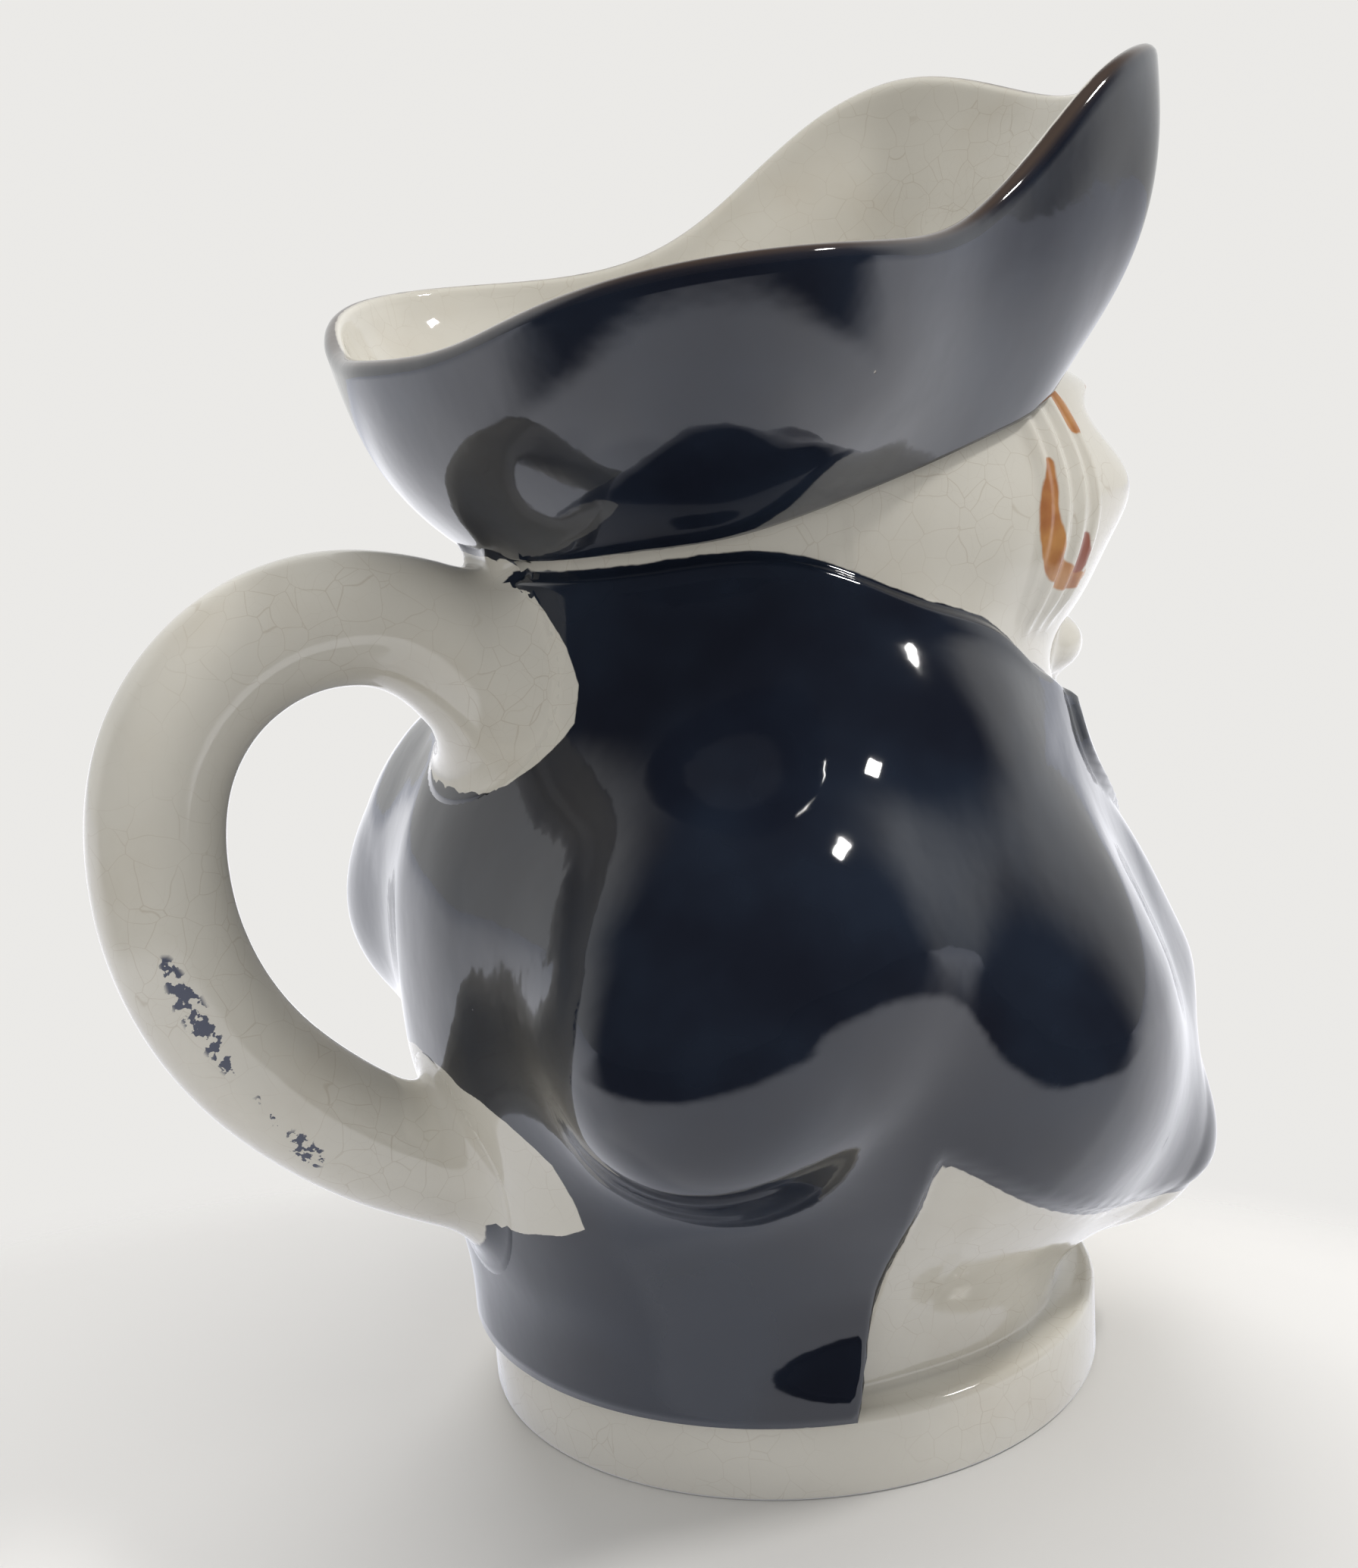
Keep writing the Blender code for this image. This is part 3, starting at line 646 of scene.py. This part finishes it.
def with_ends(values):
    """Values of a closed grid's points: those of its rings, then those of its two ends' middles."""
    flats = {title: field.reshape(-1) for title, field in values.items()}
    return {title: np.concatenate([flat, flat[:1], flat[-1:]]) for title, flat in flats.items()}


def segment_gap(across, up, path):
    """Distance, less its half width, to a brush stroke through points of place, height and half width."""
    gaps = []
    for (x0, z0, w0), (x1, z1, w1) in zip(path[:-1], path[1:]):
        dx, dz = x1 - x0, z1 - z0
        share = np.clip(((across - x0) * dx + (up - z0) * dz) / (dx * dx + dz * dz), 0, 1)
        gaps.append(np.hypot(across - x0 - share * dx, up - z0 - share * dz) - (w0 + share * (w1 - w0)))
    return np.minimum.reduce(gaps)


HEAD_REACH = 39             # the head's radius in parts, for distances round it
COAT_DEGREE = 0.66          # length of one degree on the coat, in parts
PAINT_REACH = 3.0           # paint is measured up to this far inside and outside its edge
HEM_PAINT = 0.1             # how far the navy reaches below the coat's hem
# Brushed marks: distance round the head from its front in parts, height, half width.
WHISKER = ((33.3, 100.2, 0.7), (33.9, 97.8, 1.05), (34.2, 95.4, 1.2), (34.1, 93.4, 1.35), (33.4, 90.7, 1.5),
           (32.0, 88.4, 1.5), (29.6, 87.0, 1.3), (26.6, 86.4, 0.9), (23.5, 86.6, 0.6))
WHISKER_TIP = ((27.6, 88.2, 0.9), (27.8, 89.6, 1.2), (27.9, 91.3, 0.7))
TEMPLE_CURL = ((26.5, 103.4, 0.7), (26.7, 105.4, 1.2), (26.9, 107.6, 0.8))
# The same on the face: distance from its middle, height, half width.
BROW_STROKE = ((5.0, 106.4, 0.4), (9.0, 108.0, 0.75), (15.0, 107.0, 0.3))
LIP_STROKE = ((0, 90.9, 1.2), (3.8, 90.8, 0.9), (5.9, 90.7, 0.25))
PUPIL = ((10.2, 102.9, 1.0), (10.3, 102.9, 1.0))
LID_STROKE = ((6.0, 102.8, 0.2), (10.3, 104.7, 0.35), (14.6, 103.0, 0.2))
# White left at the handle's two roots: height, and half its width as an angle from the back.
ROOT_WHITE = (
    ((19, 0), (20.6, 22.7), (21.6, 29.7), (23.2, 34.8), (26.2, 34), (31.3, 31.4), (33.7, 26.6), (35.8, 20.8),
     (37.2, 12), (38, 0)),
    ((69, 0), (69.9, 18), (73.9, 27.9), (77.3, 33.2), (81.7, 33.2), (85.6, 29.7), (90, 22), (93, 0)),
)


def navy_depth(angle, height):
    """How far inside the navy a point lies, in parts: above 0 on coat and hat and below it on the white."""
    turn = np.degrees(np.abs(angle))
    collar = around(COLLAR, turn) - height
    skirt = (turn - smooth_line(*np.array(COAT_EDGE).T, np.maximum(height, 0))) * COAT_DEGREE
    end, widest, slant, hand_top = CUFF_END
    cuff = np.maximum(height - hand_top, (turn - end + slant * np.abs(height - widest)) * COAT_DEGREE)
    upper = np.minimum(height - around(UNDERARM, turn), cuff)
    wide, foot = COAT_OPENING
    gap = wide * ramp((height - foot) / (COLLAR[0][1] - foot)) - SLOPE
    coat = np.minimum(np.minimum(collar, np.maximum(skirt, upper)), (turn - gap) * COAT_DEGREE)
    coat = np.minimum(coat, height + HEM_PAINT)
    for table in ROOT_WHITE:
        rows = np.array(table, float)
        inside = (height > rows[0, 0]) & (height < rows[-1, 0])
        past = (180 - turn - np.interp(height, rows[:, 0], rows[:, 1])) * COAT_DEGREE
        coat = np.where(inside, np.minimum(coat, past), coat)
    hat = height - around(HAT_EDGE, turn)
    return np.clip(np.maximum(coat, hat), -PAINT_REACH, PAINT_REACH)


def brush(path, across, height):
    """How far inside a brush stroke a point lies."""
    return np.clip(-segment_gap(across, height, path), -PAINT_REACH, PAINT_REACH)


# Grid of the skin: points round it, closer together at the face, and rows of its longer bands.
COLUMNS = 420
FACE_CROWDING = 0.35
COAT_ROWS, HEAD_ROWS, HAT_ROWS = 72, 58, 26
CAVITY_COLUMNS = 120
CAVITY_TOP = 150            # the inside is worked out up to this height
PLINTH_DIP = 0.15           # how far the plinth's top edge lies below the figure's lowest row
INNER_CORNER = 4.0          # radius of the round between the inside's wall and its floor
LIP_LINE = 0.3              # middle of the brown line on the lip, out from the lip's crest
FAR_FROM_LIP = 9.0          # stands for any place well away from the lip


def body_piece():
    """The casting's whole skin, from the underside up the outside, over the rim and down to the floor."""
    even = (np.arange(COLUMNS) + 1 - COLUMNS // 2) * 2 * math.pi / COLUMNS
    angle = even - FACE_CROWDING * np.sin(even)
    turn = np.degrees(np.abs(angle))
    base, plinth = PLINTH_HEIGHT / PART, PLINTH_RADIUS / PART
    foot, shoulder, lip = FOOT_ROUND / PART, PLINTH_ROUND / PART, RIM_WALL / PART
    collar, edge, rim = around(COLLAR, turn), around(HAT_EDGE, turn), rim_height(angle)
    rings, navy, lips = [], [], []

    def add(radius, height, paint, from_lip=FAR_FROM_LIP):
        """Add rows of the skin, with how far inside the navy and how far from the lip they lie."""
        row = np.zeros((1, COLUMNS))
        radius, height, paint, from_lip, _ = np.broadcast_arrays(radius, height, paint, from_lip, row)
        rings.append(place(radius, angle, height))
        navy.append(paint)
        lips.append(from_lip)

    # Underside, plinth and its two rounded edges.
    for share in np.linspace(0.25, 1, 4):
        add(circle_radius(angle, (plinth - foot) * share), -base, -PAINT_REACH)
    for bend in np.linspace(0, math.pi / 2, 4)[1:]:
        radius = plinth - foot * (1 - math.sin(bend))
        add(circle_radius(angle, radius), -base + foot * (1 - math.cos(bend)), -PAINT_REACH)
    add(circle_radius(angle, plinth), -base / 2, -PAINT_REACH)
    for bend in np.linspace(0, math.pi / 2, 5):
        radius = plinth - shoulder * (1 - math.cos(bend))
        add(circle_radius(angle, radius), -shoulder + shoulder * math.sin(bend) - PLINTH_DIP, -PAINT_REACH)

    # Coat and breeches up to the collar, its edge, the head up to the hat, the hat and its lip.
    height = np.concatenate([
        column(0, 1, COAT_ROWS) * (collar - SLOPE), collar - SLOPE * column(1, 0, 5)[1:],
        collar + column(0, 1, HEAD_ROWS)[1:] * (edge - collar) - 0.001])
    add(jug_radius(angle, height), height, navy_depth(angle, height))
    shares = np.concatenate([[[0.004], [0.02], [0.05]], column(0.08, 1, HAT_ROWS)[:-1]])
    height = edge + shares * (rim - edge)
    add(hat_radius(angle, shares), height, PAINT_REACH, rim - height)
    rim_radius = around(RIM, turn)
    for bend in np.linspace(0, math.pi, 8):
        out = lip / 2 * math.cos(bend)
        from_lip = abs(out - LIP_LINE) * 0.5
        add(rim_radius - lip / 2 + out, rim + lip / 2 * math.sin(bend), out + LIP_LINE, from_lip)
    outside_rows = sum(len(part) for part in rings)

    # The inside, worked out on a coarser grid, because it is smooth.
    coarse = (np.arange(CAVITY_COLUMNS) + 1 - CAVITY_COLUMNS // 2) * 2 * math.pi / CAVITY_COLUMNS
    floor = (BOTTOM_WALL - PLINTH_HEIGHT) / PART
    levels = np.arange(floor, CAVITY_TOP, 1.0)
    cavity = cavity_radius(coarse, levels)
    around_once = np.concatenate([coarse[-1:] - 2 * math.pi, coarse, coarse[:1] + 2 * math.pi])
    wrapped = np.concatenate([cavity[-1:], cavity, cavity[:1]])

    def cavity_at(height):
        """Inner radius at heights, read between the coarse grid's lines."""
        across = np.clip(np.searchsorted(around_once, angle) - 1, 0, len(around_once) - 2)
        mix = (angle - around_once[across]) / (around_once[across + 1] - around_once[across])
        row = np.clip((height - levels[0]) / (levels[1] - levels[0]), 0, len(levels) - 1.001)
        low = row.astype(int)
        rise = row - low
        first = wrapped[across, low] * (1 - rise) + wrapped[across, low + 1] * rise
        second = wrapped[across + 1, low] * (1 - rise) + wrapped[across + 1, low + 1] * rise
        return first * (1 - mix) + second * mix

    shares = column(0.985, 0.02, 20)
    height = edge + shares * (rim - edge)
    thin = hat_radius(angle, shares) - lip * 1.02
    inner = cavity_at(height)
    add(inner + ramp((shares - 0.6) / 0.35) * (thin - inner), height, -PAINT_REACH, rim - height + 1)
    height = floor + column(0.96, 0.03, 22) * (edge - floor)
    add(cavity_at(height), height, -PAINT_REACH)
    bend = column(0.3, math.pi / 2, 5)
    height = floor + 0.6 * INNER_CORNER * (1 - np.sin(bend)) + 0 * angle
    add(cavity_at(height) - INNER_CORNER * (1 - np.cos(bend)), height, -PAINT_REACH)
    add(cavity_at(np.full((1, COLUMNS), floor)) * 0.5, floor, -PAINT_REACH)
    rings, navy, lips = np.concatenate(rings), np.concatenate(navy), np.concatenate(lips)
    points, faces = closed_grid(rings)

    # Painted marks of the head and the buttons, on the front half of the outside.
    x, y, z = rings[..., 0] / PART - AXIS_X, rings[..., 1] / PART, (rings[..., 2] - PLINTH_HEIGHT) / PART
    ray, reach = np.arctan2(y, x), np.hypot(x, y)
    outside = (np.arange(len(rings)) < outside_rows)[:, None] & (np.abs(ray) < math.pi / 2)
    round_head, aside = np.abs(ray) * HEAD_REACH, np.abs(reach * np.sin(ray))
    hair = np.maximum.reduce([brush(WHISKER, round_head, z), brush(TEMPLE_CURL, round_head, z),
                              brush(BROW_STROKE, aside, z)])
    red = np.maximum(brush(WHISKER_TIP, round_head, z), brush(LIP_STROKE, aside, z))
    dark = np.maximum(brush(PUPIL, aside, z), brush(LID_STROKE, aside, z))
    button = np.maximum.reduce([BUTTON[0] * 0.9 - np.hypot(ray * reach, z - level) for level in BUTTONS])
    values = {"navy": navy, "lip": lips, "smudge": np.full(ray.shape, -PAINT_REACH)}
    for title, field in (("hair", hair), ("red", red), ("dark", dark), ("button", button)):
        values[title] = np.where(outside, field, -PAINT_REACH)
    return points, faces, with_ends(values)


# Colours of the slip, its stains and the paints, in pairs where they wander.
CREAM = ((0.60, 0.575, 0.51), (0.67, 0.65, 0.595))
TAN_STAIN = (0.52, 0.465, 0.375)
CRAZE_STAIN = (0.33, 0.26, 0.18)
SMEAR_BLUE = (0.018, 0.028, 0.07)
HAIR_BROWN = ((0.50, 0.235, 0.075), (0.36, 0.13, 0.04))
BUTTON_BROWN = (0.40, 0.16, 0.05)
MOUTH_RED = (0.29, 0.085, 0.05)
EYE_GREY = (0.03, 0.028, 0.035)
NAVY = ((0.0085, 0.0105, 0.0185), (0.014, 0.020, 0.034))
LIP_BROWN = (0.085, 0.06, 0.045)
SPECK_COLOUR = (0.42, 0.38, 0.33)
GLAZE_IOR = 1.6


def glaze():
    """Clear glaze over slip: cream-white with fine crazing, navy where the brush went, and painted marks."""
    material, start = new_material("glaze")
    place = start.make("ShaderNodeTexCoord", output="Object")

    def noise(scale, detail=2.0, output="Fac"):
        sockets = {"Vector": place, "Scale": scale, "Detail": detail}
        return start.make("ShaderNodeTexNoise", (), sockets, output)

    def field(title):
        return start.make("ShaderNodeAttribute", {"attribute_name": title}, (), "Fac")

    # Where each paint lies, its edge wandering as a brush leaves it.
    wander = (noise(420) - 0.5) * 0.9
    navy = (field("navy") + wander * 0.55).step(-0.10, 0.12)
    hair = (field("hair") + wander * 0.35).step(-0.12, 0.18)
    red = (field("red") + wander * 0.3).step(-0.12, 0.18)
    dark = (field("dark") + wander * 0.15).step(-0.08, 0.12)
    button = field("button").step(-0.1, 0.15)
    lip = 1 - field("lip").step(0.15, 0.55)
    patchy = (field("smudge") + (noise(900.0, 3.0) - 0.54) * 7.0).step(0.0, 0.2)
    smudge = patchy * field("smudge").step(-0.6, 0.1)

    # Crazing: two nets of fine cracks, stained in places.
    bend = {0: noise(160.0, 1.0, "Color"), 1: (0.0035, 0.0035, 0.0035), 2: place}
    bent = start.make("ShaderNodeVectorMath", {"operation": "MULTIPLY_ADD"}, bend)
    cell, fine = (
        start.make("ShaderNodeTexVoronoi", {"feature": "DISTANCE_TO_EDGE"}, {"Vector": bent, "Scale": scale})
        for scale in (300.0, 520.0))
    stain = noise(60.0, 3.0)
    craze = (1 - cell.step(0.0, 0.02)) * stain.step(0.3, 0.65)
    craze = craze + (1 - fine.step(0.0, 0.022)) * stain.step(0.45, 0.75) * 0.5

    # The white with its stains and marks, then the navy over it and the brown line along the lip.
    cream = noise(28.0).tint(*CREAM)
    cream = (noise(75.0, 4.0).step(0.45, 0.8) * 0.3).tint(cream, TAN_STAIN)
    cream = (craze * 0.30).tint(cream, CRAZE_STAIN)
    cream = (smudge * 0.97).tint(cream, SMEAR_BLUE)
    cream = (hair * 0.96).tint(cream, noise(300.0, 3.0).step(0.3, 0.7).tint(*HAIR_BROWN))
    cream = (button * 0.95).tint(cream, BUTTON_BROWN)
    cream = (red * 0.95).tint(cream, MOUTH_RED)
    cream = (dark * 0.95).tint(cream, EYE_GREY)
    blue = noise(55.0, 3.0).step(0.35, 0.7).tint(*NAVY)
    blue = (button * 0.95).tint(blue, BUTTON_BROWN)
    colour = navy.tint(cream, blue)
    colour = (lip * 0.75).tint(colour, LIP_BROWN)

    # A few pinholes in the navy, and a surface that is never quite even.
    pits = {"Vector": place, "Scale": 140.0, "Randomness": 1.0}
    from_pit, tag = (
        start.make("ShaderNodeTexVoronoi", {"feature": "F1"}, pits, output)
        for output in ("Distance", "Color"))
    few = start.make("ShaderNodeSeparateColor", (), {"Color": tag}).step(0.93, 0.94)
    speck = (1 - from_pit.step(0.012, 0.03)) * few
    colour = (speck * navy * 0.6).tint(colour, SPECK_COLOUR)
    height = noise(70.0, 1.0) * 0.00026 + noise(190.0, 2.0) * 0.00005 + noise(1400.0, 1.0) * 0.0000012
    height = height - speck * 0.00004
    bump = start.make("ShaderNodeBump", (), {"Height": height, "Distance": 1.0, "Strength": 1.0})
    rough = noise(90.0, 3.0).step(0.3, 0.8) * 0.04 + 0.045
    shader = start.make("ShaderNodeBsdfPrincipled", (), {
        "Base Color": colour, "Roughness": rough, "IOR": GLAZE_IOR, "Normal": bump})
    finish_material(start, shader)
    return material


GLAZE = glaze()
points, faces, values = body_piece()
body_shell = mesh_piece("jug_body", points, faces, values, GLAZE)
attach(body_shell, "root")
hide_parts("jug")


# The handle: a loop of rolled clay luted to the back at two flared roots before firing, white all over but
# for the coat's navy at its roots and some smears of it that the painter's fingers left on the right side.
# Smears along the handle's right side: place from the jug's middle, height, half width, all in parts.
SMUDGES = (
    ((-73.7, 56.9, 0.5), (-72.2, 52.5, 1.3), (-70.3, 48.0, 1.1), (-68.5, 44.1, 0.6)),
    ((-65.9, 40.2, 0.1), (-64.4, 37.4, 0.3), (-63.2, 35.2, 0.2)),
    ((-62.2, 34.4, 0.8), (-60.9, 32.2, 1.3), (-60.4, 31.2, 0.9)),
)
HANDLE_SIDES, HANDLE_ROWS, FILLET_ROWS = 72, 150, 9
FILLET_REACH = 5.0          # how far each root's fillet runs out, along the handle and on the body, in parts
NAVY_RISE = 1.0             # how far up the roots the coat's navy was brushed
SLOPE_STEP = 0.3            # half the length over which the slope of the body is measured
LINE_STEP = 0.2             # the same for the direction of the handle's line


def handle_piece():
    """Tube round the handle's line whose ends widen in a fillet that runs out on the body's surface."""
    line = np.array(HANDLE_LINE, float)
    steps = np.concatenate([[0], np.cumsum(np.hypot(*np.diff(line, axis=0).T))])
    total = steps[-1]
    spin = np.arange(HANDLE_SIDES) * 2 * math.pi / HANDLE_SIDES

    def tube(at):
        """Points round the tube at lengths along its line."""
        x, z = smooth_line(steps, line[:, 0], at), smooth_line(steps, line[:, 1], at)
        ahead, behind = np.clip(at + LINE_STEP, 0, total), np.clip(at - LINE_STEP, 0, total)
        along_x = smooth_line(steps, line[:, 0], ahead) - smooth_line(steps, line[:, 0], behind)
        along_z = smooth_line(steps, line[:, 1], ahead) - smooth_line(steps, line[:, 1], behind)
        length = np.hypot(along_x, along_z)
        low, high = (1 - at / ROOT_LENGTH).clip(0) ** 2, (1 - (total - at) / ROOT_LENGTH).clip(0) ** 2
        tall = 1 + (LOWER_ROOT_FLARE[0] - 1) * low + (UPPER_ROOT_FLARE[0] - 1) * high
        wide = 1 + (LOWER_ROOT_FLARE[1] - 1) * low + (UPPER_ROOT_FLARE[1] - 1) * high
        out = np.cos(spin) * tall * HANDLE_THICKNESS / PART / 2
        side = np.sin(spin) * wide * HANDLE_WIDTH / PART / 2
        return np.stack([x - along_z / length * out, side, z + along_x / length * out], -1)

    def gap(points):
        """How far outside the body's surface a point lies, along a level line."""
        x, y = points[..., 0] - AXIS_X, points[..., 1]
        return np.hypot(x, y) - outer_radius(np.arctan2(y, x), points[..., 2])

    def on_body(points, lift=0.0):
        """Points moved along level lines to the body's surface, or that much above it."""
        x, y = points[..., 0] - AXIS_X, points[..., 1]
        ray = np.arctan2(y, x)
        radius = outer_radius(ray, points[..., 2]) + lift
        return np.stack([AXIS_X + radius * np.cos(ray), radius * np.sin(ray), points[..., 2]], -1)

    def crossing(start, end, halvings=14):
        """Length along the line where each side of the tube meets the body, found by halving."""
        outside, inside = np.full(HANDLE_SIDES, start), np.full(HANDLE_SIDES, end)
        for _ in range(halvings):
            middle = (outside + inside) / 2
            out = gap(tube(middle)) > 0
            outside, inside = np.where(out, middle, outside), np.where(out, inside, middle)
        return (outside + inside) / 2

    def fillet(meet, start):
        """Rings of a root's fillet, from the tube out to the body's surface, then sunk under it."""
        corner = tube(meet)
        steps_out = SLOPE_STEP * np.eye(3)
        slope = np.stack([gap(corner + way) - gap(corner - way) for way in steps_out], -1)
        slope = slope / np.linalg.norm(slope, axis=-1, keepdims=True)
        away = corner - corner.mean(0)
        away = away - (away * slope).sum(-1, keepdims=True) * slope
        away = away / np.linalg.norm(away, axis=-1, keepdims=True)
        foot = on_body(corner + away * FILLET_REACH * 0.9)
        rings = []
        for share in np.linspace(0, 1, FILLET_ROWS + 1)[1:]:
            rest = 1 - share
            rings.append(rest ** 2 * tube(start) + 2 * share * rest * corner + share ** 2 * foot)
        rings.append(on_body(corner + away * FILLET_REACH, -0.6))
        rings.append(on_body(corner, -2.0))
        return np.array(rings)

    low_meet, high_meet = crossing(total * 0.35, 0.0), crossing(total * 0.65, total)
    low_at, high_at = low_meet + FILLET_REACH, high_meet - FILLET_REACH
    middle = tube(low_at + column(0, 1, HANDLE_ROWS) * (high_at - low_at))
    low, high = fillet(low_meet, low_at)[::-1], fillet(high_meet, high_at)
    rings = np.concatenate([low, middle, high])
    x, y, z = np.moveaxis(rings, -1, 0)
    points, faces = closed_grid(np.stack([x * PART, y * PART, z * PART + PLINTH_HEIGHT], -1))
    paint = np.minimum(navy_depth(np.arctan2(y, x - AXIS_X), z), NAVY_RISE - gap(rings))
    paint[len(low):len(low) + HANDLE_ROWS] = -PAINT_REACH
    smudge = np.maximum.reduce([brush(path, x, z) for path in SMUDGES])
    values = {"navy": paint, "smudge": np.where(y < 0, smudge, -PAINT_REACH)}
    for title in ("hair", "red", "dark", "button"):
        values[title] = np.full(paint.shape, -PAINT_REACH)
    values["lip"] = np.full(paint.shape, FAR_FROM_LIP)
    return points, faces, with_ends(values)


points, faces, values = handle_piece()
handle = mesh_piece("jug_handle", points, faces, values, GLAZE)
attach(handle, "root")
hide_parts("jug")
